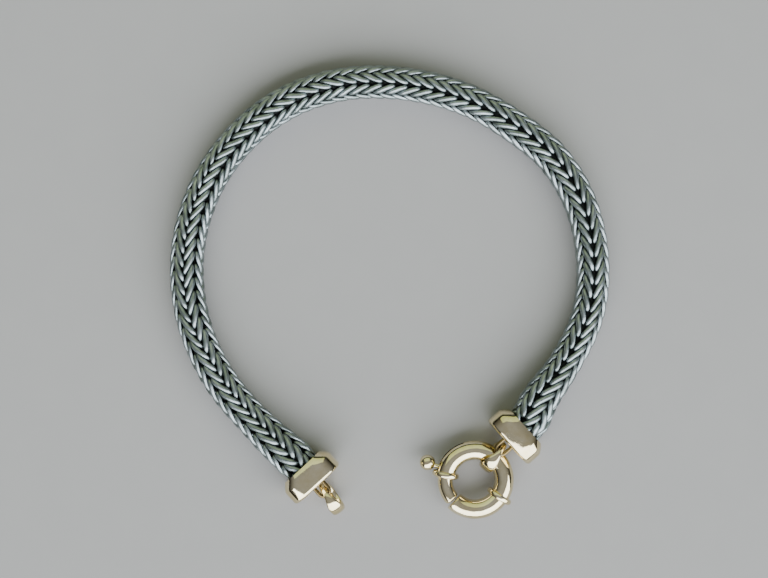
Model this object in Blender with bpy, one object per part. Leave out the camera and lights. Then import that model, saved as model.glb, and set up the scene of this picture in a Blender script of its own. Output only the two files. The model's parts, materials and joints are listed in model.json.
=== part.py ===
"""Woven silver chain bracelet with gold end caps and a bolt-ring clasp, lying open in a C.

Lengths are in metres, +Z is up, and the bracelet rests on the plane z = 0.
The chain runs from the left cap, round over the top, to the right cap, which holds the clasp.
"""
import math

import bmesh
import bpy
from mathutils import Matrix, Vector

MM = 0.001

# Facets: points between two route points, round a socket, a collar, a link ring and the ball
route_steps = 16
socket_sides = 24
collar_sides = 18
link_stations = 28
ball_segments = 16
ball_rings = 12

# Gaps between pieces that touch or pass through each other
socket_gap = 0.30 * MM
link_gap = 0.25 * MM
bolt_gap = 0.25 * MM
floor_gap = 0.05 * MM

# Woven chain
chain_width = 5.70 * MM
chain_flare_width = 6.80 * MM
chain_flare_length = 13.0 * MM
chain_end_width = 6.20 * MM
chain_end_height = 5.20 * MM
chain_rise_length = 15.0 * MM
row_pitch = 2.19 * MM
stroke_reach = 3.20 * MM
groove_depth = 0.42 * MM
hole_depth = 0.95 * MM
# Skin of the chain from one hole line to the next, for its four hole lines: share of the reach that
# a stroke has gone there
STROKE_SLANT = [0.5, 0.0, -0.5, 0.0] * 4

# Route of the chain's centreline, seen from above: x, y in millimetres
CHAIN_ROUTE = [
    (-13.4, -30.1), (-14.6, -28.8), (-21.0, -22.9), (-28.2, -14.6), (-32.7, -4.5), (-33.6, 6.5),
    (-30.6, 17.3), (-25.3, 25.0), (-17.9, 31.0), (-8.8, 34.3), (2.0, 34.6), (12.3, 32.1),
    (21.5, 26.9), (26.8, 22.5), (31.2, 15.6), (33.4, 7.6), (32.8, -3.7), (28.9, -12.0),
    (24.7, -18.0), (22.4, -22.2), (21.1, -23.4),
]
# Where the hole line that faces up turns to, as (share of the length, degrees towards the outside)
CHAIN_TURN = [
    (0.00, -46.0), (0.02, -48.0), (0.06, -60.0), (0.13, -61.0), (0.20, -40.0), (0.25, -39.0),
    (0.30, -34.0), (0.36, -24.0), (0.41, -28.0), (0.46, -18.0), (0.50, -13.0), (0.60, -11.0),
    (0.67, -2.0), (0.74, 2.0), (0.82, -1.0), (0.89, -6.0), (0.94, -13.0), (0.97, -21.0),
    (1.00, -31.0),
]

# End caps
cap_width = 9.80 * MM
cap_height = 7.00 * MM
cap_depth = 4.00 * MM
cap_corner = 2.30 * MM
cap_edge = 0.55 * MM
socket_wall = 0.40 * MM
socket_depth = 2.00 * MM
# Outline of a cap from its back to its front: share of the depth, share of the shoulder that slopes
# in to the socket's wall, share of the front edge's bevel
CAP_PROFILE = [
    (0.00, 1.0, 0.0), (0.05, 0.78, 0.0), (0.13, 0.42, 0.0), (0.22, 0.14, 0.0), (0.32, 0.0, 0.0),
    (0.88, 0.0, 0.0), (0.95, 0.0, 0.30), (1.00, 0.0, 1.0),
]

# Eye on each cap's front, and the link ring that hangs in it
eye_wire = 0.50 * MM
link_thickness = 0.65 * MM
link_narrow = 0.85 * MM
link_wide = 2.20 * MM
# A link ring starts to widen and ends widening at these shares of the way round to its far side
link_widening = (0.10, 0.50)
# Corners of a link ring's cross-section stand this much farther out than an even oval's
link_fullness = 1.2
eye_lean = math.radians(30.0)
link_swing = {"left": math.radians(-6.0), "right": math.radians(8.0)}

# Bolt-ring clasp
clasp_diameter = 13.0 * MM
clasp_tube = 3.20 * MM
clasp_bolt = 2.30 * MM
collar_width = 4.50 * MM
collar_length = 1.00 * MM
stem_width = 0.75 * MM
ball_width = 2.60 * MM
neck_length = 0.55 * MM
# Outline of a collar along the tube: share of its length, share of its width
COLLAR_PROFILE = [(-0.5, 0.86), (-0.28, 1.0), (0.28, 1.0), (0.5, 0.86)]
# Angles round the clasp, from the place where the link ring holds it
bore_end = math.radians(32.0)
bolt_tail = math.radians(98.0)
stem_angle = math.radians(109.5)
open_end = math.radians(125.0)
bolt_tip = math.radians(171.0)
mouth_end = math.radians(175.0)
far_collar = math.radians(276.0)
trigger_travel = math.radians(46.0)

# Sizes that follow
cap_middle = cap_height / 2
socket_half_width = chain_end_width / 2 + socket_gap
socket_half_height = chain_end_height / 2 + socket_gap
shoulder_width = cap_width / 2 - socket_half_width - socket_wall
shoulder_height = cap_height / 2 - socket_half_height - socket_wall
eye_reach = clasp_tube / 2 + link_gap + eye_wire / 2
link_inner = (eye_reach + clasp_tube / 2 + eye_wire / 2 + 2 * link_gap) / 2
link_outer = link_inner + link_thickness
link_path = link_inner + link_thickness / 2
tube_offset = link_inner - clasp_tube / 2 - link_gap
link_height = link_outer + floor_gap
link_distance = link_outer + link_gap
tube_distance = link_distance + tube_offset * math.sin(eye_lean)
tube_height = link_height - tube_offset * math.cos(eye_lean)
eye_distance = tube_distance - eye_reach * math.sin(eye_lean)
eye_height = tube_height + eye_reach * math.cos(eye_lean)
eye_rise = eye_height - link_height
eye_cross = link_distance - math.sqrt(link_path ** 2 - eye_rise ** 2)
eye_half_width = link_narrow / 2 + link_gap + eye_wire / 2
ring_path = (clasp_diameter - clasp_tube) / 2


def clear_scene():
    """Start from an empty scene."""
    for item in list(bpy.data.objects):
        bpy.data.objects.remove(item, do_unlink=True)


def make_collection(name):
    """Return a new collection linked to the scene."""
    collection = bpy.data.collections.new(name)
    bpy.context.scene.collection.children.link(collection)
    return collection


def make_material(name, colour, roughness):
    """Return a metal with the given colour (red, green, blue, 0 to 1) and roughness."""
    material = bpy.data.materials.new(name)
    material.use_nodes = True
    shader = material.node_tree.nodes["Principled BSDF"]
    shader.inputs["Base Color"].default_value = (*colour, 1.0)
    shader.inputs["Metallic"].default_value = 1.0
    shader.inputs["Roughness"].default_value = roughness
    return material


def mesh_object(name, mesh, collection, material=None):
    """Return an object that holds the mesh, with an optional material."""
    item = bpy.data.objects.new(name, mesh)
    collection.objects.link(item)
    if material is not None:
        mesh.materials.append(material)
    return item


def mark_cutter(item):
    """Show a shape as a wire that is used for cutting or joining and never built."""
    item.hide_render = True
    item.display_type = "WIRE"
    return item


def loft(name, rings, closed=False):
    """Return a mesh that joins rings of points, each with as many points; ends get a face."""
    bm = bmesh.new()
    loops = [[bm.verts.new(point) for point in ring] for ring in rings]
    count = len(rings[0])
    spans = list(zip(loops, loops[1:]))
    if closed:
        spans.append((loops[-1], loops[0]))
    for first, second in spans:
        for index in range(count):
            after = (index + 1) % count
            bm.faces.new((first[index], first[after], second[after], second[index]))
    if not closed:
        bm.faces.new(reversed(loops[0]))
        bm.faces.new(loops[-1])
    bmesh.ops.recalc_face_normals(bm, faces=bm.faces)
    mesh = bpy.data.meshes.new(name)
    bm.to_mesh(mesh)
    bm.free()
    return mesh


def wire_mesh(name, points, width, resolution, collection):
    """Return the mesh of a round wire along the points, with welded end caps."""
    curve = bpy.data.curves.new(name, "CURVE")
    curve.dimensions = "3D"
    curve.bevel_depth = width / 2
    curve.bevel_resolution = resolution
    curve.use_fill_caps = True
    spline = curve.splines.new("POLY")
    spline.points.add(len(points) - 1)
    for target, point in zip(spline.points, points):
        target.co = (*point, 1.0)
    item = bpy.data.objects.new(name, curve)
    collection.objects.link(item)
    bpy.context.view_layer.update()
    evaluated = item.evaluated_get(bpy.context.evaluated_depsgraph_get())
    mesh = bpy.data.meshes.new_from_object(evaluated)
    bpy.data.objects.remove(item, do_unlink=True)
    bm = bmesh.new()
    bm.from_mesh(mesh)
    bmesh.ops.remove_doubles(bm, verts=bm.verts, dist=0.001 * MM)
    bmesh.ops.recalc_face_normals(bm, faces=bm.faces)
    bm.to_mesh(mesh)
    bm.free()
    return mesh


def add_boolean(item, other, operation):
    """Join another shape to the item, or cut it away."""
    modifier = item.modifiers.new(operation.title(), "BOOLEAN")
    modifier.operation = operation
    modifier.solver = "EXACT"
    modifier.object = other


def smooth_share(value, start, end):
    """Go smoothly from 0 at start to 1 at end."""
    share = min(max((value - start) / (end - start), 0.0), 1.0)
    return share * share * (3.0 - 2.0 * share)


def read_table(table, share):
    """Return the smoothly blended second value of a table at a share of the length."""
    for (start, low), (end, high) in zip(table, table[1:]):
        if share <= end:
            return low + (high - low) * smooth_share(share, start, end)
    return table[-1][1]


def smooth_route(points, steps):
    """Return points along a smooth curve through the given ones."""
    lengths = [(b - a).length for a, b in zip(points, points[1:])]
    slopes = [(points[1] - points[0]).normalized()]
    for index in range(1, len(points) - 1):
        before = (points[index] - points[index - 1]) / lengths[index - 1]
        after = (points[index + 1] - points[index]) / lengths[index]
        weight = lengths[index - 1] / (lengths[index - 1] + lengths[index])
        slopes.append((before * (1 - weight) + after * weight).normalized())
    slopes.append((points[-1] - points[-2]).normalized())
    route = []
    for index, length in enumerate(lengths):
        for step in range(steps):
            t = step / steps
            route.append(
                points[index] * (2 * t ** 3 - 3 * t ** 2 + 1)
                + slopes[index] * length * (t ** 3 - 2 * t ** 2 + t)
                + points[index + 1] * (3 * t ** 2 - 2 * t ** 3)
                + slopes[index + 1] * length * (t ** 3 - t ** 2)
            )
    route.append(points[-1])
    return route


class ChainPath:
    """The chain's centreline, read by the distance from its left end."""

    def __init__(self):
        self.points = smooth_route([Vector((x, y, 0.0)) * MM for x, y in CHAIN_ROUTE], route_steps)
        self.distances = [0.0]
        for start, end in zip(self.points, self.points[1:]):
            self.distances.append(self.distances[-1] + (end - start).length)
        self.length = self.distances[-1]

    def flat_place(self, distance):
        """Return the place and direction on the plane at a distance along the route."""
        distance = min(max(distance, 0.0), self.length)
        index = 0
        while index < len(self.distances) - 2 and self.distances[index + 1] < distance:
            index += 1
        start, end = self.points[index], self.points[index + 1]
        share = (distance - self.distances[index]) / (self.distances[index + 1] - self.distances[index])
        return start.lerp(end, share), (end - start).normalized()

    def height(self, distance):
        """Return the height of the centreline, which rises to the middle of the caps."""
        from_end = min(distance, self.length - distance)
        rise = 1.0 - smooth_share(from_end, socket_depth, socket_depth + chain_rise_length)
        return chain_width / 2 + (cap_middle - chain_width / 2) * rise

    def half_sizes(self, distance):
        """Return half the width and half the height of the chain at a distance."""
        from_end = min(distance, self.length - distance)
        flare = 1.0 - smooth_share(from_end, socket_depth, socket_depth + chain_flare_length)
        width = chain_width + (chain_flare_width - chain_width) * flare
        height = chain_width
        inside = 1.0 - smooth_share(from_end, socket_depth, socket_depth + row_pitch / 2)
        width += (chain_end_width - width) * inside
        height += (chain_end_height - height) * inside
        return width / 2, height / 2

    def cap_frame(self, side):
        """Return the matrix of a cap: origin under its back face, +X towards its front."""
        end = self.points[0] if side == "left" else self.points[-1]
        inner = self.points[1] if side == "left" else self.points[-2]
        out = (end - inner).normalized()
        back = end - out * (socket_depth - socket_gap)
        return Matrix.Translation(back) @ Matrix.Rotation(math.atan2(out.y, out.x), 4, "Z")


def chain_point(path, distance, angle, depth):
    """Return a point on the chain's skin, at an angle from the top towards the outside."""
    place, along = path.flat_place(distance)
    outward = Vector((-along.y, along.x, 0.0))
    half_width, half_height = path.half_sizes(distance)
    turned = angle + math.radians(read_table(CHAIN_TURN, distance / path.length))
    sideways = (half_width - depth) * math.sin(turned)
    upwards = (half_height - depth) * math.cos(turned)
    return place + outward * sideways + Vector((0.0, 0.0, path.height(distance) + upwards))


def woven_chain_mesh(path):
    """Return the woven band: strokes run from each tight line to the hole lines beside it."""
    sides = len(STROKE_SLANT)
    rows = round(path.length / row_pitch)
    rings = []
    for index in range(2 * rows + 1):
        base = path.length * index / (2 * rows)
        reach = stroke_reach * smooth_share(min(base, path.length - base), 0.0, 2 * stroke_reach)
        valley = index % 2 == 0
        ring = []
        for side in range(sides):
            on_hole_line = STROKE_SLANT[side] > 0.0
            depth = 0.0
            if valley:
                depth = hole_depth if on_hole_line else groove_depth
            angle = -2 * math.pi * side / sides
            ring.append(chain_point(path, base + STROKE_SLANT[side] * reach, angle, depth))
        rings.append(ring)
    return loft("woven_chain", rings)


def rounded_outline(distance, half_width, half_height, corner, middle):
    """Return the points of a rounded rectangle across +X, at a distance along it."""
    points = []
    for quarter in range(4):
        sign_y = 1 if quarter in (0, 3) else -1
        sign_z = 1 if quarter in (0, 1) else -1
        for step in range(5):
            turn = math.pi / 2 * (quarter + step / 4)
            y = sign_y * (half_width - corner) + corner * math.cos(turn)
            z = sign_z * (half_height - corner) + corner * math.sin(turn)
            points.append(Vector((distance, y, middle + z)))
    return points


def ellipse_outline(distance, half_width, half_height, middle):
    """Return the points of an ellipse across +X, at a distance along it."""
    turns = [2 * math.pi * index / socket_sides for index in range(socket_sides)]
    return [Vector((distance, half_width * math.cos(t), middle + half_height * math.sin(t))) for t in turns]


def build_cap(side, path, parts, cutters, material):
    """Build an end cap: a rounded box with sloping shoulders, a socket behind and an eye in front."""
    rings = []
    for share, shoulder_share, edge_share in CAP_PROFILE:
        inset = edge_share * cap_edge
        half_width = cap_width / 2 - shoulder_share * shoulder_width - inset
        half_height = cap_height / 2 - shoulder_share * shoulder_height - inset
        corner = cap_corner - inset
        rings.append(rounded_outline(share * cap_depth, half_width, half_height, corner, cap_middle))
    cap = mesh_object(f"end_cap_{side}", loft(f"end_cap_{side}", rings), parts, material)
    socket = loft("socket", [ellipse_outline(distance, socket_half_width, socket_half_height, cap_middle)
                             for distance in (-cap_depth / 2, socket_depth)])
    socket = mark_cutter(mesh_object(f"socket_{side}", socket, cutters))
    root = cap_depth - eye_wire
    straight = cap_depth + eye_distance - eye_half_width
    points = [Vector((root, -eye_half_width, eye_height))]
    for step in range(9):
        turn = math.pi * (step / 8 - 0.5)
        points.append(Vector((straight + eye_half_width * math.cos(turn),
                              eye_half_width * math.sin(turn), eye_height)))
    points.append(Vector((root, eye_half_width, eye_height)))
    eye_mesh = wire_mesh("eye", points, eye_wire, 2, cutters)
    eye = mark_cutter(mesh_object(f"eye_{side}", eye_mesh, cutters))
    for item in (cap, socket, eye):
        item.matrix_world = path.cap_frame(side)
    add_boolean(cap, socket, "DIFFERENCE")
    add_boolean(cap, eye, "UNION")
    return cap


def link_frame(side, path):
    """Return the matrix of a link ring: origin at its centre, +X away from the cap."""
    swing = Matrix.Translation((eye_cross, 0.0, 0.0)) @ Matrix.Rotation(link_swing[side], 4, "Z")
    shift = Matrix.Translation((cap_depth, 0.0, 0.0))
    centre = Matrix.Translation((link_distance - eye_cross, 0.0, link_height))
    return path.cap_frame(side) @ shift @ swing @ centre


def build_link_ring(side, path, parts, material):
    """Build a link ring that is narrow in the eye and widens to a band on the far side."""
    crossing = math.pi - math.asin(eye_rise / link_path)
    half_thickness = link_thickness / 2
    rings = []
    for index in range(link_stations):
        turn = 2 * math.pi * index / link_stations
        apart = abs((turn - crossing + math.pi) % (2 * math.pi) - math.pi) / math.pi
        half_width = (link_narrow + (link_wide - link_narrow) * smooth_share(apart, *link_widening)) / 2
        outward = Vector((math.cos(turn), 0.0, math.sin(turn)))
        ring = []
        for corner in range(8):
            around = math.pi / 4 * corner
            across = half_width * math.cos(around)
            radial = half_thickness * math.sin(around)
            if corner % 2:
                across *= link_fullness
                radial *= link_fullness
            ring.append(outward * (link_path + radial) + Vector((0.0, across, 0.0)))
        rings.append(ring)
    mesh = loft(f"link_ring_{side}", rings, closed=True)
    ring = mesh_object(f"link_ring_{side}", mesh, parts, material)
    ring.matrix_world = link_frame(side, path)
    return ring


def on_ring(turn, radius=None, height=0.0):
    """Return a point at an angle round the clasp's centre."""
    radius = ring_path if radius is None else radius
    return Vector((radius * math.cos(turn), radius * math.sin(turn), height))


def ring_arc(start, end, step=math.radians(9.0)):
    """Return points along the clasp's ring between two angles."""
    count = max(2, math.ceil(abs(end - start) / step))
    return [on_ring(start + (end - start) * index / count) for index in range(count + 1)]


def collar_mesh(name, turn):
    """Return a rounded collar that stands round the clasp's tube at an angle."""
    place = Matrix.Translation(on_ring(turn)) @ Matrix.Rotation(turn, 4, "Z")
    place = place @ Matrix.Rotation(math.pi / 2, 4, "X")
    rings = []
    for length_share, width_share in COLLAR_PROFILE:
        radius = collar_width / 2 * width_share
        turns = [2 * math.pi * index / collar_sides for index in range(collar_sides)]
        rings.append([place @ Vector((radius * math.cos(around), radius * math.sin(around),
                                      collar_length * length_share)) for around in turns])
    return loft(name, rings)


def build_clasp_body(frame, parts, cutters, material):
    """Build the clasp's tube ring with its collars, the bore for the bolt and the stem's slot."""
    tube = wire_mesh("clasp_body", ring_arc(mouth_end - 2 * math.pi, open_end), clasp_tube, 5, cutters)
    body = mesh_object("clasp_body", tube, parts, material)
    half_collar = collar_length / 2 / ring_path
    bore_width = clasp_bolt + 2 * bolt_gap
    bore = wire_mesh("bore", ring_arc(bore_end, open_end + 4 * half_collar), bore_width, 4, cutters)
    slot_margin = (stem_width / 2 + bolt_gap) / ring_path
    slot_half = stem_width / 2 + bolt_gap
    slot_start = stem_angle - trigger_travel - slot_margin
    slot_end = stem_angle + slot_margin
    rings = []
    for index in range(9):
        turn = slot_start + (slot_end - slot_start) * index / 8
        corners = [(ring_path, -slot_half), (ring_path + clasp_tube, -slot_half),
                   (ring_path + clasp_tube, slot_half), (ring_path, slot_half)]
        rings.append([on_ring(turn, radius, height) for radius, height in corners])
    joined = [("near_collar", collar_mesh("near_collar", open_end - half_collar), "UNION"),
              ("far_collar", collar_mesh("far_collar", far_collar), "UNION"),
              ("bore", bore, "DIFFERENCE"),
              ("stem_slot", loft("stem_slot", rings), "DIFFERENCE")]
    body.matrix_world = frame
    for name, mesh, operation in joined:
        other = mark_cutter(mesh_object(name, mesh, cutters))
        other.matrix_world = frame
        add_boolean(body, other, operation)
    return body


def build_clasp_trigger(frame, parts, cutters, material):
    """Build the curved bolt with its stem and ball, turning about the clasp's centre."""
    bolt = wire_mesh("clasp_trigger", ring_arc(bolt_tail, bolt_tip), clasp_bolt, 4, cutters)
    trigger = mesh_object("clasp_trigger", bolt, parts, material)
    ball_path = ring_path + clasp_tube / 2 + neck_length + ball_width / 2
    stem = wire_mesh("stem", [on_ring(stem_angle), on_ring(stem_angle, ball_path)], stem_width, 3, cutters)
    stem = mark_cutter(mesh_object("stem", stem, cutters))
    bm = bmesh.new()
    bmesh.ops.create_uvsphere(bm, u_segments=ball_segments, v_segments=ball_rings, radius=ball_width / 2)
    ball_mesh = bpy.data.meshes.new("ball")
    bmesh.ops.translate(bm, verts=bm.verts, vec=on_ring(stem_angle, ball_path))
    bm.to_mesh(ball_mesh)
    bm.free()
    ball = mark_cutter(mesh_object("ball", ball_mesh, cutters))
    for item in (trigger, stem, ball):
        item.matrix_world = frame
    add_boolean(trigger, stem, "UNION")
    add_boolean(trigger, ball, "UNION")
    return trigger


def shade_round(item):
    """Shade an item smooth, with edges kept where faces meet sharply."""
    item.data.shade_smooth()
    item.data.set_sharp_from_angle(angle=math.radians(35.0))


def main():
    """Build the bracelet."""
    clear_scene()
    parts = make_collection("woven_bracelet")
    cutters = make_collection("woven_bracelet_cutters")
    silver = make_material("oxidised_silver", (0.46, 0.47, 0.45), 0.38)
    gold = make_material("polished_gold", (0.90, 0.78, 0.52), 0.12)
    path = ChainPath()
    built = [mesh_object("woven_chain", woven_chain_mesh(path), parts, silver)]
    for side in ("left", "right"):
        built.append(build_cap(side, path, parts, cutters, gold))
        built.append(build_link_ring(side, path, parts, gold))
    link = link_frame("right", path)
    to_ring = Matrix.Translation((tube_distance - link_distance + ring_path, 0.0, tube_height - link_height))
    facing_link = Matrix.Rotation(math.pi, 4, "Z")
    clasp = link @ to_ring @ facing_link
    built.append(build_clasp_body(clasp, parts, cutters, gold))
    built.append(build_clasp_trigger(clasp, parts, cutters, gold))
    for item in built:
        shade_round(item)


main()
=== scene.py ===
"""Looks of a woven silver chain bracelet with polished gold end caps and a bolt-ring clasp.

Lengths are in metres and +Z is up. The bracelet lies open on the plane z = 0.
"""
import json
import math

import bmesh
import bpy
import numpy as np
from mathutils import Matrix, Vector

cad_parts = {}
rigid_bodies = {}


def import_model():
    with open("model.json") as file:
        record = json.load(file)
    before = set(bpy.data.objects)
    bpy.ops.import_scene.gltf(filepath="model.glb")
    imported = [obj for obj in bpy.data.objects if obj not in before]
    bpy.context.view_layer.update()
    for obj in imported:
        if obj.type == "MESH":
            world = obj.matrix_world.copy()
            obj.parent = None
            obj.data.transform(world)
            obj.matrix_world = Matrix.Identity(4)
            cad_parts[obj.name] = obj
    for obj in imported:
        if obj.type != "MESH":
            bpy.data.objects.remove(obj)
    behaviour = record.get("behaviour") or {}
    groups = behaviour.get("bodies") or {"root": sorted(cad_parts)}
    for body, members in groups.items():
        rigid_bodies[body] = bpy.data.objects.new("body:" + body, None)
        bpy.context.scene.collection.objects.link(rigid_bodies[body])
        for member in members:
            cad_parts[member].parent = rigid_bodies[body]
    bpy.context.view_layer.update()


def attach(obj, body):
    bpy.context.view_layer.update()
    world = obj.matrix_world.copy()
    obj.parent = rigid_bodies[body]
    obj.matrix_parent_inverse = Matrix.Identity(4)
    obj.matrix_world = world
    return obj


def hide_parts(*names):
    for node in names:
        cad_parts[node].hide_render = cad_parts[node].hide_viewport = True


MM = 0.001
FULL_TURN = 2 * math.pi
QUARTER_TURN = math.pi / 2
ORIGIN = (0.0, 0.0, 0.0)
weld_distance = 0.001 * MM
# How near to a plane a point counts as lying on it
end_nearness = 0.01 * MM
face_nearness = 0.02 * MM
# Faces that meet at less than this many degrees are shaded smooth
crisp_angle = 35.0
soft_angle = 60.0

# Woven chain
chain_width = 5.70 * MM
chain_flare_width = 6.80 * MM
chain_flare_length = 13.0 * MM
chain_end_width = 6.20 * MM
chain_end_height = 5.20 * MM
chain_rise_length = 15.0 * MM
hole_lines = 4
# Route of the chain's centreline, seen from above: x, y in millimetres
CHAIN_ROUTE = [
    (-13.4, -30.1), (-14.6, -28.8), (-21.0, -22.9), (-28.2, -14.6), (-32.7, -4.5), (-33.6, 6.5),
    (-30.6, 17.3), (-25.3, 25.0), (-17.9, 31.0), (-8.8, 34.3), (2.0, 34.6), (12.3, 32.1),
    (21.5, 26.9), (26.8, 22.5), (31.2, 15.6), (33.4, 7.6), (32.8, -3.7), (28.9, -12.0),
    (24.7, -18.0), (22.4, -22.2), (21.1, -23.4),
]
route_steps = 16
# Where the hole line that faces up turns to: share of the length, degrees towards the outside
CHAIN_TURN = [
    (0.00, -46.0), (0.02, -48.0), (0.06, -60.0), (0.13, -61.0), (0.20, -40.0), (0.25, -39.0),
    (0.30, -34.0), (0.36, -24.0), (0.41, -28.0), (0.46, -18.0), (0.50, -13.0), (0.60, -11.0),
    (0.67, -2.0), (0.74, 2.0), (0.82, -1.0), (0.89, -6.0), (0.94, -13.0), (0.97, -21.0),
    (1.00, -31.0),
]
# The weave is stretched near the caps: share of the length, millimetres from row to row
ROW_PITCH = [
    (0.00, 2.29), (0.24, 2.27), (0.29, 2.14), (0.60, 2.13), (0.65, 2.37), (0.73, 2.37),
    (0.78, 2.27), (1.00, 2.31),
]
# Place of the first stroke of the line that faces up, in rows from the start of the chain
row_phase = 0.58
# Rows woven before the chain's start, and in all beyond its own; they are cut off at the ends
lead_rows = 3
spare_rows = 4

# One wire stroke of the weave, from the tight line to the hole line
wire_width = 0.93 * MM
wire_height = 0.80 * MM
wire_sides = 8
flat_pitch = 2.19 * MM
# Millimetres along the stroke, sideways from the hole line and down from the crown, and then
# the stroke's thickness as a share of the wire's
STROKE = [
    (0.00, 1.80, 0.55, 0.50), (0.22, 1.75, 0.26, 0.66), (0.55, 1.63, 0.08, 0.84),
    (1.10, 1.40, 0.00, 0.97), (1.90, 1.00, 0.00, 1.00), (2.65, 0.65, 0.06, 1.00),
    (3.20, 0.49, 0.15, 0.94), (3.58, 0.43, 0.30, 0.84), (3.76, 0.41, 0.55, 0.74),
    (3.80, 0.41, 1.00, 0.60),
]
core_width = 3.20 * MM
core_sides = 16
core_step = 1.5 * MM

# End caps
cap_width = 9.80 * MM
cap_height = 7.00 * MM
cap_depth = 4.00 * MM
cap_corner = 2.30 * MM
corner_segments = 8
cap_edge = 0.55 * MM
socket_gap = 0.30 * MM
socket_wall = 0.40 * MM
socket_depth = 2.00 * MM
socket_sides = 48
rim_rounding = 0.12 * MM
rim_segments = 3
# The back shoulder takes this share of the depth, and its slope follows this power
shoulder_share = 0.36
shoulder_power = 1.4
shoulder_height = 0.42 * MM
# Steps in the outline of the shoulder, and in that of the front edge
outline_steps = 5
# The right cap's top falls away towards the front, from a soft crease
crease_share = 0.50
crease_softness = 0.30 * MM
front_fall = 0.55 * MM

# Eye on each cap's front, and the link ring that hangs in it. Places are worked out from a thin
# wire, and the eye is drawn thicker.
eye_wire = 0.50 * MM
eye_thickness = 0.66 * MM
eye_sides = 16
eye_steps = 20
link_gap = 0.25 * MM
floor_gap = 0.05 * MM
link_thickness = 0.65 * MM
link_narrow = 0.85 * MM
link_wide = 2.20 * MM
link_steps = 64
link_sides = 20
# The link ring widens between these shares of the way from the eye to the far side, and the
# power makes its edges fuller than a round wire's
link_widening = (0.10, 0.50)
link_fullness = 0.75
eye_lean = math.radians(30.0)
link_swing = {"left": math.radians(-6.0), "right": math.radians(8.0)}

# Bolt-ring clasp; angles are measured round it from the place where the link ring holds it
clasp_diameter = 13.0 * MM
clasp_tube = 3.20 * MM
tube_sides = 40
ring_step = math.radians(4.0)
bore_width = 2.80 * MM
bore_sides = 32
bolt_width = 2.50 * MM
mouth_rounding = 0.18 * MM
tip_rounding = 0.30 * MM
end_segments = 4
collar_width = 4.50 * MM
collar_length = 1.00 * MM
collar_rounding = 0.42 * MM
collar_sides = 48
collar_segments = 6
stem_width = 0.75 * MM
stem_sides = 24
stem_gap = 0.25 * MM
slot_steps = 16
ball_width = 2.60 * MM
ball_sides = 40
ball_rings = 20
neck_length = 0.55 * MM
bore_end = math.radians(32.0)
bolt_tail = math.radians(98.0)
stem_angle = math.radians(109.5)
open_end = math.radians(125.0)
bolt_tip = math.radians(171.0)
mouth_end = math.radians(175.0)
far_collar = math.radians(276.0)
trigger_travel = math.radians(46.0)

# Sizes that follow
cap_middle = cap_height / 2
socket_half_width = chain_end_width / 2 + socket_gap
socket_half_height = chain_end_height / 2 + socket_gap
shoulder_width = cap_width / 2 - socket_half_width - socket_wall
eye_reach = clasp_tube / 2 + link_gap + eye_wire / 2
link_inner = (eye_reach + clasp_tube / 2 + eye_wire / 2 + 2 * link_gap) / 2
link_outer = link_inner + link_thickness
link_path = link_inner + link_thickness / 2
tube_offset = link_inner - clasp_tube / 2 - link_gap
link_height = link_outer + floor_gap
link_distance = link_outer + link_gap
tube_distance = link_distance + tube_offset * math.sin(eye_lean)
tube_height = link_height - tube_offset * math.cos(eye_lean)
eye_distance = tube_distance - eye_reach * math.sin(eye_lean)
eye_height = tube_height + eye_reach * math.cos(eye_lean)
eye_rise = eye_height - link_height
eye_cross = link_distance - math.sqrt(link_path ** 2 - eye_rise ** 2)
eye_half_width = link_narrow / 2 + link_gap + eye_wire / 2
ring_path = (clasp_diameter - clasp_tube) / 2
wire_circle = chain_width / 2 - wire_height / 2
line_spacing = FULL_TURN * wire_circle / hole_lines

# Camera straight over the bracelet; lens and sensor in millimetres
camera_height = 250.0 * MM
camera_aside = (-1.0 * MM, 0.5 * MM)
camera_lens = 69.8
camera_sensor = 36.0

# Studio: the board's side in metres, and each soft box's place, width and height in metres,
# its power in watts and its colour
floor_size = 12.0
SOFT_BOXES = [
    ("key", (0.36, -1.00, 0.80), 3.40, 1.44, 100.0, "#EEF4FF"),
    ("far_side", (-0.20, 1.00, 0.84), 2.20, 1.20, 11.2, "#BCCB92"),
]


def hex_colour(text):
    """Return an sRGB hex colour as linear red, green, blue and full opacity."""
    channels = [int(text[index:index + 2], 16) / 255 for index in (1, 3, 5)]
    linear = [value / 12.92 if value <= 0.04045 else ((value + 0.055) / 1.055) ** 2.4
              for value in channels]
    return (*linear, 1.0)


def fill_inputs(tree, node, inputs):
    """Fill a node's inputs with values, or link them to the outputs of other nodes."""
    for socket, value in inputs.items():
        if isinstance(value, bpy.types.NodeSocket):
            tree.links.new(value, node.inputs[socket])
        else:
            node.inputs[socket].default_value = value


def add_node(tree, kind, inputs=None, **settings):
    """Add a node, set its properties, and fill or link its inputs."""
    node = tree.nodes.new(kind)
    for name, value in settings.items():
        setattr(node, name, value)
    fill_inputs(tree, node, inputs or {})
    return node


def new_material(name):
    """Return a new material with its node tree, its shader and its texture coordinates."""
    material = bpy.data.materials.new(name)
    material.use_nodes = True
    tree = material.node_tree
    place = add_node(tree, "ShaderNodeTexCoord").outputs["Object"]
    return material, tree, tree.nodes["Principled BSDF"], place


def mix_colours(tree, share, first, second):
    """Return the colour between two others at a share."""
    mix = add_node(tree, "ShaderNodeMix", {0: share, 6: first, 7: second}, data_type="RGBA")
    return mix.outputs[2]


def map_value(tree, value, old, new):
    """Return a value moved from one range to another and kept inside it."""
    node = add_node(tree, "ShaderNodeMapRange", {
        "Value": value, "From Min": old[0], "From Max": old[1],
        "To Min": new[0], "To Max": new[1]})
    return node.outputs["Result"]


def noise(tree, place, size, detail, roughness=0.5):
    """Return noise with features of a size."""
    node = add_node(tree, "ShaderNodeTexNoise", {
        "Vector": place, "Scale": 1 / size, "Detail": detail, "Roughness": roughness})
    return node.outputs["Fac"]


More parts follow.
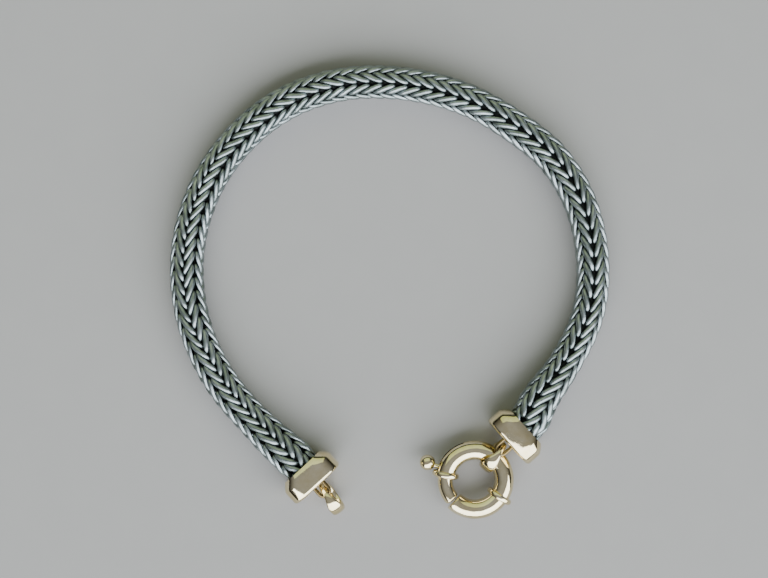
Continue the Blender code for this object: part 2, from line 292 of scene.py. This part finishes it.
def bump(tree, height, strength, distance, under=None):
    """Return the normal that a height makes, on top of another one where there is one."""
    inputs = {"Height": height, "Strength": strength, "Distance": distance}
    if under:
        inputs["Normal"] = under
    return add_node(tree, "ShaderNodeBump", inputs).outputs["Normal"]


def silver_wire_material():
    """Drawn, oxidised silver wire: bright worn crowns over tarnish and painted shade that darken
    the gaps and the wires' flanks.
    """
    material, tree, shader, place = new_material("oxidised_silver_wire")
    crown = add_node(tree, "ShaderNodeAttribute", attribute_name="crown").outputs["Fac"]
    along_wire = add_node(tree, "ShaderNodeUVMap", uv_map="wire").outputs["UV"]
    patches = noise(tree, place, size=2.4 * MM, detail=2.0, roughness=0.55)
    # Drawing marks are 0.12 mm apart across the wire and run 1.5 mm along it, and the fourth
    # coordinate changes them from patch to patch
    stretched = add_node(tree, "ShaderNodeMapping", {
        "Vector": along_wire, "Scale": (1 / 1.5, 1 / 0.12, 1.0)})
    marks = add_node(tree, "ShaderNodeTexNoise", {
        "Vector": stretched.outputs["Vector"], "W": map_value(tree, patches, (0, 1), (0, 40)),
        "Scale": 1.0, "Detail": 3.0, "Roughness": 0.6}, noise_dimensions="4D").outputs["Fac"]
    pits = noise(tree, place, size=0.22 * MM, detail=3.0, roughness=0.65)
    patch_share = map_value(tree, patches, (0.35, 0.65), (0, 1))
    mark_share = map_value(tree, marks, (0.50, 0.72), (0.0, 0.6))
    # Lower on the wire, towards its flanks and sunken ends, the colour falls to near black: partly
    # the oxide in the weave's hollows, and partly painted shade.
    crown_share = map_value(tree, crown, (0.02, 0.52), (0, 1))
    silver = mix_colours(tree, patch_share, hex_colour("#868F8B"), hex_colour("#A7B0AF"))
    marked = mix_colours(tree, mark_share, silver, hex_colour("#5B625F"))
    tarnished_and_shaded = mix_colours(tree, crown_share, hex_colour("#1B211F"), marked)
    drawn = bump(tree, marks, strength=0.25, distance=0.03 * MM)
    fill_inputs(tree, shader, {
        "Base Color": tarnished_and_shaded, "Metallic": 1.0,
        "Roughness": map_value(tree, marks, (0.35, 0.75), (0.32, 0.48)),
        "Normal": bump(tree, pits, strength=0.30, distance=0.05 * MM, under=drawn)})
    return material


def oxide_and_painted_shade_core_material():
    """Nearly black, dull core of the weave: partly the oxide that polishing never reaches, and
    partly painted shade deep in the weave.
    """
    material, tree, shader, place = new_material("oxide_and_painted_shade_core")
    shade_mottle = noise(tree, place, size=0.8 * MM, detail=3.0)
    colour = mix_colours(tree, shade_mottle, hex_colour("#0E100F"), hex_colour("#262A27"))
    fill_inputs(tree, shader, {"Base Color": colour, "Metallic": 0.7, "Roughness": 0.55})
    return material


def polished_gold_material(name, light, deep, smooth, dull):
    """Cast yellow gold, polished on a wheel, with hairline scratches and faint swirls of wear."""
    material, tree, shader, place = new_material(name)
    swirl = noise(tree, place, size=3.5 * MM, detail=3.0, roughness=0.6)
    # Hairlines are 0.10 mm apart and 2.5 mm long, coarser than real ones so that they show
    turned = add_node(tree, "ShaderNodeMapping", {
        "Vector": place, "Rotation": (0.0, 0.0, math.radians(38.0)),
        "Scale": (1 / (2.5 * MM), 1 / (0.10 * MM), 1 / (0.10 * MM))})
    hairlines = noise(tree, turned.outputs["Vector"], size=1.0, detail=2.0)
    dents = noise(tree, place, size=1.6 * MM, detail=1.0)
    swirl_share = map_value(tree, swirl, (0.35, 0.65), (0, 1))
    waves = bump(tree, dents, strength=0.35, distance=0.08 * MM)
    fill_inputs(tree, shader, {
        "Base Color": mix_colours(tree, swirl_share, hex_colour(light), hex_colour(deep)),
        "Metallic": 1.0, "Roughness": map_value(tree, hairlines, (0.52, 0.72), (smooth, dull)),
        "Normal": bump(tree, hairlines, strength=0.05, distance=0.01 * MM, under=waves)})
    return material


def floor_material():
    """Matt pale studio board with a hardly visible tooth, so that it stays plain."""
    material, tree, shader, place = new_material("matt_studio_board")
    tooth = noise(tree, place, size=6.0 * MM, detail=4.0)
    colour = mix_colours(tree, tooth, hex_colour("#95938F"), hex_colour("#999792"))
    fill_inputs(tree, shader, {"Base Color": colour, "Roughness": 0.85})
    return material


def deselect_all():
    """Leave nothing selected."""
    for item in bpy.context.view_layer.objects:
        item.select_set(False)


def pick(items):
    """Select these objects and make the first one active."""
    deselect_all()
    for item in items:
        item.select_set(True)
    bpy.context.view_layer.objects.active = items[0]


def edit(item):
    """Open an item in edit mode."""
    pick([item])
    bpy.ops.object.mode_set(mode="EDIT")


def start_shape(name):
    """Name the new primitive, keep its place in its mesh, and open all of it in edit mode."""
    item = bpy.context.object
    item.name = name
    item.data.name = name
    pick([item])
    bpy.ops.object.transform_apply(location=True, rotation=True, scale=True)
    bpy.ops.object.mode_set(mode="EDIT")
    bpy.ops.mesh.select_all(action="SELECT")
    return item


def end_shape(item):
    """Merge doubles, turn the faces outwards and leave edit mode."""
    bpy.ops.mesh.select_all(action="SELECT")
    bpy.ops.mesh.remove_doubles(threshold=weld_distance)
    bpy.ops.mesh.normals_make_consistent(inside=False)
    bpy.ops.object.mode_set(mode="OBJECT")
    return item


def extrude(move):
    """Extrude the selected face and move the new one."""
    bpy.ops.mesh.extrude_region_move(TRANSFORM_OT_translate={"value": tuple(move)})


def turn(angle, axis, centre=ORIGIN):
    """Turn what is selected; without a window the operator turns the other way round."""
    bpy.ops.transform.rotate(value=-angle, orient_axis=axis, center_override=tuple(centre))


def resize(value, centre=ORIGIN):
    """Resize what is selected about a point."""
    bpy.ops.transform.resize(value=tuple(value), center_override=tuple(centre))


def spin(angle, steps, centre=ORIGIN):
    """Spin what is selected round a vertical axis, anticlockwise seen from above."""
    bpy.ops.mesh.spin(steps=steps, dupli=False, angle=-angle, center=centre, axis=(0.0, 0.0, 1.0))


def select_edges(item, test):
    """Select the edges, in edit mode, whose two ends both pass a test of their place."""
    bpy.ops.mesh.select_all(action="DESELECT")
    shape = bmesh.from_edit_mesh(item.data)
    for edge in shape.edges:
        if all(test(vertex.co) for vertex in edge.verts):
            edge.select_set(True)
    bmesh.update_edit_mesh(item.data)


def apply_modifier(item, kind, **settings):
    """Add a modifier with its settings and apply it."""
    modifier = item.modifiers.new(kind.title(), kind)
    for name, value in settings.items():
        setattr(modifier, name, value)
    pick([item])
    bpy.ops.object.modifier_apply(modifier=modifier.name)


def combine(item, other, operation):
    """Join another closed shape to the item or cut it away, and remove the other shape."""
    apply_modifier(item, "BOOLEAN", operation=operation, solver="EXACT", object=other)
    bpy.data.objects.remove(other, do_unlink=True)


def put(item, matrix):
    """Carry an item to its place, and keep the place in its mesh."""
    item.data.transform(matrix)
    item.data.update()


def finish_piece(item, materials, body, node):
    """Give a piece its finishes, its body, and the node it stands for."""
    item.data.materials.clear()
    for material in materials:
        item.data.materials.append(material)
    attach(item, body)
    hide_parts(node)


def shade(item, angle=crisp_angle):
    """Shade a piece smooth, and keep its sharp edges."""
    pick([item])
    bpy.ops.object.shade_smooth_by_angle(angle=math.radians(angle))


def smooth_share(value, start, end):
    """Go smoothly from 0 at start to 1 at end."""
    share = np.clip((value - start) / (end - start), 0.0, 1.0)
    return share * share * (3.0 - 2.0 * share)


def read_table(table, share):
    """Return the smoothly blended second value of a table at a share of the length."""
    for (start, low), (end, high) in zip(table, table[1:]):
        if share <= end:
            return low + (high - low) * smooth_share(share, start, end)
    return table[-1][1]


def smooth_route(points, steps):
    """Return points along a smooth curve through the given ones."""
    lengths = [(b - a).length for a, b in zip(points, points[1:])]
    slopes = [(points[1] - points[0]).normalized()]
    for index in range(1, len(points) - 1):
        before = (points[index] - points[index - 1]) / lengths[index - 1]
        after = (points[index + 1] - points[index]) / lengths[index]
        weight = lengths[index - 1] / (lengths[index - 1] + lengths[index])
        slopes.append((before * (1 - weight) + after * weight).normalized())
    slopes.append((points[-1] - points[-2]).normalized())
    route = []
    for index, length in enumerate(lengths):
        for step in range(steps):
            t = step / steps
            route.append(
                points[index] * (2 * t ** 3 - 3 * t ** 2 + 1)
                + slopes[index] * length * (t ** 3 - 2 * t ** 2 + t)
                + points[index + 1] * (3 * t ** 2 - 2 * t ** 3)
                + slopes[index + 1] * length * (t ** 3 - t ** 2)
            )
    route.append(points[-1])
    return route


def read_points(item):
    """Return the X, the Y and the Z of a mesh's points."""
    flat = np.zeros(len(item.data.vertices) * 3)
    item.data.vertices.foreach_get("co", flat)
    return flat.reshape(-1, 3).T


class ChainPath:
    """The chain's route with its height, width, turn and row count, sampled end to end."""

    def __init__(self):
        self.points = smooth_route([Vector((x, y, 0.0)) * MM for x, y in CHAIN_ROUTE], route_steps)
        steps = [(end - start).length for start, end in zip(self.points, self.points[1:])]
        self.distance = np.concatenate([[0.0], np.cumsum(steps)])
        self.length = self.distance[-1]
        self.place = np.array(self.points)
        along = np.gradient(self.place, self.distance, axis=0)
        self.along = along / np.linalg.norm(along, axis=1)[:, None]
        shares = self.distance / self.length
        self.turn = np.radians([read_table(CHAIN_TURN, share) for share in shares])
        pitch = np.array([read_table(ROW_PITCH, share) for share in shares]) * MM
        middle = (pitch[1:] + pitch[:-1]) / 2
        self.row = np.concatenate([[0.0], np.cumsum(np.array(steps) / middle)])

    def height(self, from_end):
        """Return the height of the centreline, which rises to the middle of the caps."""
        rise = 1.0 - smooth_share(from_end, socket_depth, socket_depth + chain_rise_length)
        return chain_width / 2 + (cap_middle - chain_width / 2) * rise

    def half_sizes(self, from_end):
        """Return half the width and half the height of the chain."""
        flare = 1.0 - smooth_share(from_end, socket_depth, socket_depth + chain_flare_length)
        inside = 1.0 - smooth_share(from_end, socket_depth, socket_depth + flat_pitch / 2)
        width = chain_width + (chain_flare_width - chain_width) * flare
        width = width + (chain_end_width - width) * inside
        height = chain_width + (chain_end_height - chain_width) * inside
        return width / 2, height / 2

    def cap_frame(self, side):
        """Return the matrix of a cap: origin under its back face, +X towards its front."""
        end = self.points[0] if side == "left" else self.points[-1]
        inner = self.points[1] if side == "left" else self.points[-2]
        out = (end - inner).normalized()
        back = end - out * (socket_depth - socket_gap)
        return Matrix.Translation(back) @ Matrix.Rotation(math.atan2(out.y, out.x), 4, "Z")

    def read(self, samples, distance):
        """Return what samples along the chain are at distances along it."""
        return np.interp(distance, self.distance, samples)

    def roll_up(self, item):
        """Roll a flat sheet, rows along X and hole lines along Y, round the centreline."""
        rows, across, rise = read_points(item)
        distance = np.interp(rows / flat_pitch, self.row, self.distance)
        place = [self.read(self.place[:, axis], distance) for axis in (0, 1)]
        along = np.array([self.read(self.along[:, axis], distance) for axis in (0, 1)])
        along /= np.linalg.norm(along, axis=0)
        from_end = np.minimum(distance, self.length - distance)
        half_width, half_height = self.half_sizes(from_end)
        depth = chain_width / 2 - wire_circle - rise
        angle = across / wire_circle + self.read(self.turn, distance)
        sideways = (half_width - depth) * np.sin(angle)
        rolled = np.stack([
            place[0] - along[1] * sideways, place[1] + along[0] * sideways,
            self.height(from_end) + (half_height - depth) * np.cos(angle)], axis=1)
        item.data.vertices.foreach_set("co", rolled.ravel())
        item.data.update()


def stroke_across(along):
    """Return how far a stroke lies from its hole line, at distances along it."""
    table = np.array(STROKE) * MM
    return np.interp(along, table[:, 0], table[:, 1])


def make_stroke():
    """Draw a stroke of wire flat, from its foot on the tight line to its tip by the hole line."""
    places = [Vector((along, across, -depth)) * MM for along, across, depth, _ in STROKE]
    shares = [station[3] for station in STROKE]
    ways = [after - before
            for before, after in zip(places[:1] + places, places[1:] + places[-1:])]
    headings = [math.atan2(way.y, way.x) for way in ways]
    slopes = [math.atan2(-way.z, math.hypot(way.x, way.y)) for way in ways]
    bpy.ops.mesh.primitive_circle_add(
        vertices=wire_sides, radius=wire_width / 2 * shares[0], fill_type="NGON",
        location=places[0], rotation=(0.0, QUARTER_TURN, 0.0))
    stroke = start_shape("wire_stroke")
    resize((1.0, 1.0, wire_height / wire_width), places[0])
    turn(slopes[0], "Y", places[0])
    turn(headings[0], "Z", places[0])
    for index in range(1, len(places)):
        extrude(places[index] - places[index - 1])
        turn(headings[index] - headings[index - 1], "Z", places[index])
        turn(slopes[index] - slopes[index - 1], "Y", places[index])
        resize([shares[index] / shares[index - 1]] * 3, places[index])
    return end_shape(stroke)


def copy_item(item, name):
    """Return a copy of an item with its own mesh."""
    copied = item.copy()
    copied.data = item.data.copy()
    copied.name = name
    bpy.context.collection.objects.link(copied)
    return copied


def mark_wire(item):
    """Keep, while the mesh is flat, how high each point lies and where it is along its wire."""
    along, across, rise = read_points(item)
    crown = item.data.attributes.new("crown", "FLOAT", "POINT")
    height = np.clip(1.0 + (rise - wire_height / 2) / wire_width, 0.0, 1.0)
    crown.data.foreach_set("value", height)
    wire_map = item.data.uv_layers.new(name="wire")
    corners = np.zeros(len(item.data.loops), dtype=int)
    item.data.loops.foreach_get("vertex_index", corners)
    in_millimetres = np.stack([along, across - stroke_across(along)], axis=1)[corners] / MM
    wire_map.data.foreach_set("uv", in_millimetres.ravel())


def build_chain_wires(path, material):
    """Weave the chain flat and roll it up: a stroke and its mirror image make a V of a row."""
    stroke = make_stroke()
    mark_wire(stroke)
    apply_modifier(stroke, "MIRROR", use_axis=(False, True, False), use_mirror_merge=False)
    rows = math.ceil(path.row[-1]) + spare_rows
    apply_modifier(stroke, "ARRAY", count=rows, use_relative_offset=False,
                   use_constant_offset=True, constant_offset_displace=(flat_pitch, 0.0, 0.0))
    lines = [stroke] + [copy_item(stroke, f"line_{index}") for index in range(1, hole_lines)]
    for index, line in enumerate(lines):
        shift = row_phase - lead_rows + (index % 2) / 2
        put(line, Matrix.Translation((shift * flat_pitch, index * line_spacing, 0.0)))
    pick(lines)
    bpy.ops.object.join()
    wires = bpy.context.object
    wires.name = "chain_wires"
    bpy.ops.object.mode_set(mode="EDIT")
    for end, outwards in ((0.0, -1.0), (path.row[-1] * flat_pitch, 1.0)):
        bpy.ops.mesh.select_all(action="SELECT")
        bpy.ops.mesh.bisect(
            plane_co=(end, 0.0, 0.0), plane_no=(outwards, 0.0, 0.0), use_fill=True,
            clear_outer=True, clear_inner=False, threshold=weld_distance / 10)
    bpy.ops.object.mode_set(mode="OBJECT")
    path.roll_up(wires)
    edit(wires)
    end_shape(wires)
    shade(wires, soft_angle)
    finish_piece(wires, [material], "root", "woven_chain")


def build_chain_core(path, material):
    """Close the inside of the weave with a nearly black core, painted shade that keeps the gaps
    dark, rolled from a flat strip like the wires.
    """
    length = path.row[-1] * flat_pitch
    bpy.ops.mesh.primitive_grid_add(
        x_subdivisions=round(length / core_step), y_subdivisions=core_sides, size=1.0)
    core = start_shape("chain_core")
    resize((length, FULL_TURN * wire_circle, 1.0))
    bpy.ops.transform.translate(value=(length / 2, 0.0, core_width / 2 - wire_circle))
    bpy.ops.object.mode_set(mode="OBJECT")
    path.roll_up(core)
    edit(core)
    bpy.ops.mesh.select_all(action="SELECT")
    bpy.ops.mesh.remove_doubles(threshold=weld_distance)
    bpy.ops.mesh.select_all(action="SELECT")
    bpy.ops.mesh.fill_holes(sides=0)
    end_shape(core)
    shade(core)
    finish_piece(core, [material], "root", "woven_chain")


def cap_sections():
    """Return a cap's outline from back to front: place, half width and half height."""
    half_width, half_height = cap_width / 2, cap_height / 2
    sections = []
    for step in range(outline_steps + 1):
        share = step / outline_steps
        slope = (1.0 - share) ** shoulder_power
        sections.append((shoulder_share * share * cap_depth,
                         half_width - slope * shoulder_width,
                         half_height - slope * shoulder_height))
    for side in (-1, 1):
        sections.append((crease_share * cap_depth + side * crease_softness,
                         half_width, half_height))
    for step in range(outline_steps + 1):
        around = QUARTER_TURN * step / outline_steps
        inset = cap_edge * (1.0 - math.cos(around))
        sections.append((cap_depth - cap_edge * (1.0 - math.sin(around)),
                         half_width - inset, half_height - inset))
    return sections


def slope_front(cap):
    """Let the front of the top fall away in a broad bevel, down to nothing at half the height."""
    start = crease_share * cap_depth
    for vertex in cap.data.vertices:
        rise = max((vertex.co.z - cap_middle) / cap_middle, 0.0)
        forward = max((vertex.co.x - start) / (cap_depth - start), 0.0)
        vertex.co.z -= front_fall * rise * forward


def build_cap(side, path, materials):
    """Build a cap: a rounded box with a sloping shoulder, a socket for the chain, and an eye."""
    middle = (0.0, 0.0, cap_middle)
    along_cap = (0.0, QUARTER_TURN, 0.0)
    sections = cap_sections()
    bpy.ops.mesh.primitive_plane_add(size=MM, location=middle, rotation=along_cap)
    cap = start_shape(f"cap_{side}")
    resize((1.0, 2 * sections[0][1] / MM, 2 * sections[0][2] / MM), middle)
    bpy.ops.mesh.bevel(offset=cap_corner, segments=corner_segments, affect="VERTICES")
    bpy.ops.mesh.select_all(action="SELECT")
    for before, section in zip(sections, sections[1:]):
        extrude((section[0] - before[0], 0.0, 0.0))
        resize((1.0, section[1] / before[1], section[2] / before[2]),
               (section[0], 0.0, cap_middle))
    end_shape(cap)
    if side == "right":
        slope_front(cap)
    bpy.ops.mesh.primitive_cylinder_add(
        vertices=socket_sides, radius=MM, depth=2 * socket_depth,
        location=middle, rotation=along_cap)
    socket = start_shape("socket")
    resize((1.0, socket_half_width / MM, socket_half_height / MM), middle)
    end_shape(socket)
    combine(cap, socket, "DIFFERENCE")
    soften_rim(cap)
    combine(cap, make_eye(), "UNION")
    finish_piece(cap, materials, "root", f"end_cap_{side}")
    # The eye, all that stands in front of the cap, takes the second finish: a darker, duller gold
    # that paints the shade round the eye
    for face in cap.data.polygons:
        face.material_index = int(face.center.x > cap_depth + face_nearness)
    put(cap, path.cap_frame(side))
    shade(cap)


def soften_rim(cap):
    """Round the edge of the socket's mouth a little."""
    edit(cap)
    limit = 1.0 + face_nearness / socket_half_height

    def on_mouth(place):
        reach = math.hypot(place.y / socket_half_width,
                           (place.z - cap_middle) / socket_half_height)
        return abs(place.x) < face_nearness and reach < limit

    select_edges(cap, on_mouth)
    bpy.ops.mesh.bevel(offset=rim_rounding, segments=rim_segments)
    end_shape(cap)


def make_eye():
    """Bend a U of wire out of the cap's front: straight, half a circle, and straight back."""
    straight = cap_depth + eye_distance - eye_half_width
    root = cap_depth - eye_wire
    bpy.ops.mesh.primitive_circle_add(
        vertices=eye_sides, radius=eye_thickness / 2, fill_type="NGON",
        location=(root, -eye_half_width, eye_height), rotation=(0.0, QUARTER_TURN, 0.0))
    eye = start_shape("eye")
    extrude((straight - root, 0.0, 0.0))
    spin(math.pi, eye_steps, (straight, 0.0, eye_height))
    extrude((root - straight, 0.0, 0.0))
    return end_shape(eye)


def link_frame(side, path):
    """Return the matrix of a link ring: origin at its centre, +X away from the cap."""
    shift = Matrix.Translation((cap_depth, 0.0, 0.0))
    cross = Matrix.Translation((eye_cross, 0.0, 0.0))
    swing = Matrix.Rotation(link_swing[side], 4, "Z")
    centre = Matrix.Translation((link_distance - eye_cross, 0.0, link_height))
    return path.cap_frame(side) @ shift @ (cross @ swing) @ centre


def build_link_ring(side, path, material):
    """Build a link ring, narrow in the eye and widening to a band on the far side."""
    bpy.ops.mesh.primitive_torus_add(
        major_segments=link_steps, minor_segments=link_sides,
        major_radius=link_path, minor_radius=link_thickness / 2,
        rotation=(QUARTER_TURN, 0.0, 0.0))
    ring = start_shape(f"link_{side}")
    bpy.ops.object.mode_set(mode="OBJECT")
    crossing = math.pi - math.asin(eye_rise / link_path)
    for vertex in ring.data.vertices:
        around = math.atan2(vertex.co.z, vertex.co.x)
        apart = abs((around - crossing + math.pi) % FULL_TURN - math.pi) / math.pi
        width = link_narrow + (link_wide - link_narrow) * smooth_share(apart, *link_widening)
        across = vertex.co.y / (link_thickness / 2)
        vertex.co.y = math.copysign(abs(across) ** link_fullness, across) * width / 2
    edit(ring)
    end_shape(ring)
    put(ring, link_frame(side, path))
    shade(ring, soft_angle)
    finish_piece(ring, [material], "root", f"link_ring_{side}")


def on_ring(around, radius=ring_path):
    """Return a point at an angle round the clasp's centre."""
    return Vector((radius * math.cos(around), radius * math.sin(around), 0.0))


def ring_tube(name, start, end, width, sides):
    """Return a closed round bar that follows the clasp's ring between two angles."""
    bpy.ops.mesh.primitive_circle_add(
        vertices=sides, radius=width / 2, fill_type="NGON",
        location=(ring_path, 0.0, 0.0), rotation=(QUARTER_TURN, 0.0, 0.0))
    bar = start_shape(name)
    turn(start, "Z")
    spin(end - start, math.ceil((end - start) / ring_step))
    return end_shape(bar)


def round_end(bar, rounding, angle):
    """Round the edge of a bar's flat end, at its angle on the clasp's ring."""
    edit(bar)
    middle = on_ring(angle)
    normal = Vector((-math.sin(angle), math.cos(angle), 0.0))

    def on_end(place):
        return abs(place.dot(normal)) < end_nearness and place.dot(middle) > 0

    select_edges(bar, on_end)
    bpy.ops.mesh.bevel(offset=rounding, segments=end_segments)
    end_shape(bar)


def make_collar(name, around):
    """Turn a rounded collar that stands round the clasp's tube at an angle."""
    bpy.ops.mesh.primitive_cylinder_add(
        vertices=collar_sides, radius=collar_width / 2, depth=collar_length,
        rotation=(QUARTER_TURN, 0.0, 0.0))
    collar = start_shape(name)
    for side in (1, -1):
        select_edges(collar, lambda place: place.y * side > 0)
        bpy.ops.mesh.bevel(offset=collar_rounding, segments=collar_segments)
    bpy.ops.mesh.select_all(action="SELECT")
    bpy.ops.transform.translate(value=(ring_path, 0.0, 0.0))
    turn(around, "Z")
    return end_shape(collar)


def make_stem_slot():
    """Shape the slot that the stem slides in, as a block bent round the clasp's ring."""
    half = stem_width / 2 + stem_gap
    margin = half / ring_path
    outside = (ring_path + clasp_tube / 2, 0.0, 0.0)
    bpy.ops.mesh.primitive_plane_add(
        size=MM, location=outside, rotation=(QUARTER_TURN, 0.0, 0.0))
    slot = start_shape("stem_slot")
    resize((clasp_tube / MM, 1.0, 2 * half / MM), outside)
    turn(stem_angle - trigger_travel - margin, "Z")
    spin(trigger_travel + 2 * margin, slot_steps)
    return end_shape(slot)


def build_clasp_ring(clasp, material):
    """Build the clasp's ring: a tube with two collars, bored for the bolt and its stem's slot."""
    half_collar = collar_length / 2 / ring_path
    # The bore runs on past the open end, so that it cuts the tube's end and its collar through
    bore_start = open_end + 4 * half_collar
    ring = ring_tube("clasp_ring", mouth_end - FULL_TURN, open_end, clasp_tube, tube_sides)
    round_end(ring, mouth_rounding, mouth_end)
    combine(ring, make_collar("near_collar", open_end - half_collar), "UNION")
    combine(ring, make_collar("far_collar", far_collar), "UNION")
    combine(ring, ring_tube("bore", bore_end, bore_start, bore_width, bore_sides), "DIFFERENCE")
    combine(ring, make_stem_slot(), "DIFFERENCE")
    put(ring, clasp)
    shade(ring)
    finish_piece(ring, [material], "root", "clasp_body")


def build_trigger(clasp, material):
    """Build the bolt that closes the clasp, with the stem and the ball that pull it."""
    bolt = ring_tube("trigger", bolt_tail, bolt_tip, bolt_width, tube_sides)
    round_end(bolt, tip_rounding, bolt_tip)
    ball_path = ring_path + clasp_tube / 2 + neck_length + ball_width / 2
    bpy.ops.mesh.primitive_cylinder_add(
        vertices=stem_sides, radius=stem_width / 2, depth=ball_path - ring_path,
        location=((ball_path + ring_path) / 2, 0.0, 0.0), rotation=(0.0, QUARTER_TURN, 0.0))
    stem = start_shape("stem")
    # Half a side's turn keeps the stem's corners off the bolt's and the ball's own edges
    turn(math.pi / stem_sides, "X")
    turn(stem_angle, "Z")
    end_shape(stem)
    bpy.ops.mesh.primitive_uv_sphere_add(
        segments=ball_sides, ring_count=ball_rings, radius=ball_width / 2,
        location=on_ring(stem_angle, ball_path))
    ball = end_shape(start_shape("ball"))
    combine(bolt, stem, "UNION")
    combine(bolt, ball, "UNION")
    put(bolt, clasp)
    shade(bolt)
    finish_piece(bolt, [material], "trigger", "clasp_trigger")


def build_floor(material):
    """Lay a wide pale board under the bracelet."""
    bpy.ops.mesh.primitive_plane_add(size=floor_size)
    floor = bpy.context.object
    floor.name = "studio_floor"
    floor.data.materials.append(material)


def add_soft_box(name, place, width, height, power, colour):
    """Hang a soft box that faces the bracelet."""
    light = bpy.data.lights.new(name, "AREA")
    light.shape = "RECTANGLE"
    light.size = width
    light.size_y = height
    light.energy = power
    light.color = hex_colour(colour)[:3]
    box = bpy.data.objects.new(name, light)
    box.location = place
    box.rotation_euler = (-Vector(place)).to_track_quat("-Z", "Y").to_euler()
    bpy.context.scene.collection.objects.link(box)


def studio_world():
    """Surround the bracelet with a plain room: grey overhead, and darker towards the walls."""
    world = bpy.data.worlds.new("studio")
    world.use_nodes = True
    tree = world.node_tree
    place = add_node(tree, "ShaderNodeTexCoord").outputs["Generated"]
    parts = add_node(tree, "ShaderNodeSeparateXYZ", {"Vector": place})
    rise = map_value(tree, parts.outputs["Z"], (0.15, 0.95), (0, 1))
    colour = mix_colours(tree, rise, hex_colour("#2B2A27"), hex_colour("#B2B6BE"))
    fill_inputs(tree, tree.nodes["Background"], {"Color": colour, "Strength": 0.9})
    bpy.context.scene.world = world


def set_lights():
    """Light the bracelet broadly from the clasp side, and more weakly from the far side."""
    studio_world()
    for soft_box in SOFT_BOXES:
        add_soft_box(*soft_box)


def set_camera():
    """Look straight down on the bracelet, as the photograph does."""
    data = bpy.data.cameras.new("overhead_camera")
    data.lens = camera_lens
    data.sensor_width = camera_sensor
    camera = bpy.data.objects.new("overhead_camera", data)
    camera.location = (*camera_aside, camera_height)
    bpy.context.scene.collection.objects.link(camera)
    bpy.context.scene.camera = camera


def build_bracelet():
    """Build every piece round the frame."""
    gold = polished_gold_material("polished_yellow_gold", "#ECDFB9", "#DECD9C", 0.07, 0.16)
    # A darker, duller gold for the eyes paints the shade between each cap and its link ring.
    eye_shade_gold = polished_gold_material("shaded_eye_yellow_gold", "#8F7C52", "#5F5237", 0.28, 0.42)
    path = ChainPath()
    build_chain_wires(path, silver_wire_material())
    build_chain_core(path, oxide_and_painted_shade_core_material())
    for side in ("left", "right"):
        build_cap(side, path, [gold, eye_shade_gold])
        build_link_ring(side, path, gold)
    to_ring = Matrix.Translation(
        (tube_distance - link_distance + ring_path, 0.0, tube_height - link_height))
    clasp = link_frame("right", path) @ to_ring @ Matrix.Rotation(math.pi, 4, "Z")
    build_clasp_ring(clasp, gold)
    build_trigger(clasp, gold)


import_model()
deselect_all()
set_camera()
build_bracelet()
build_floor(floor_material())
set_lights()
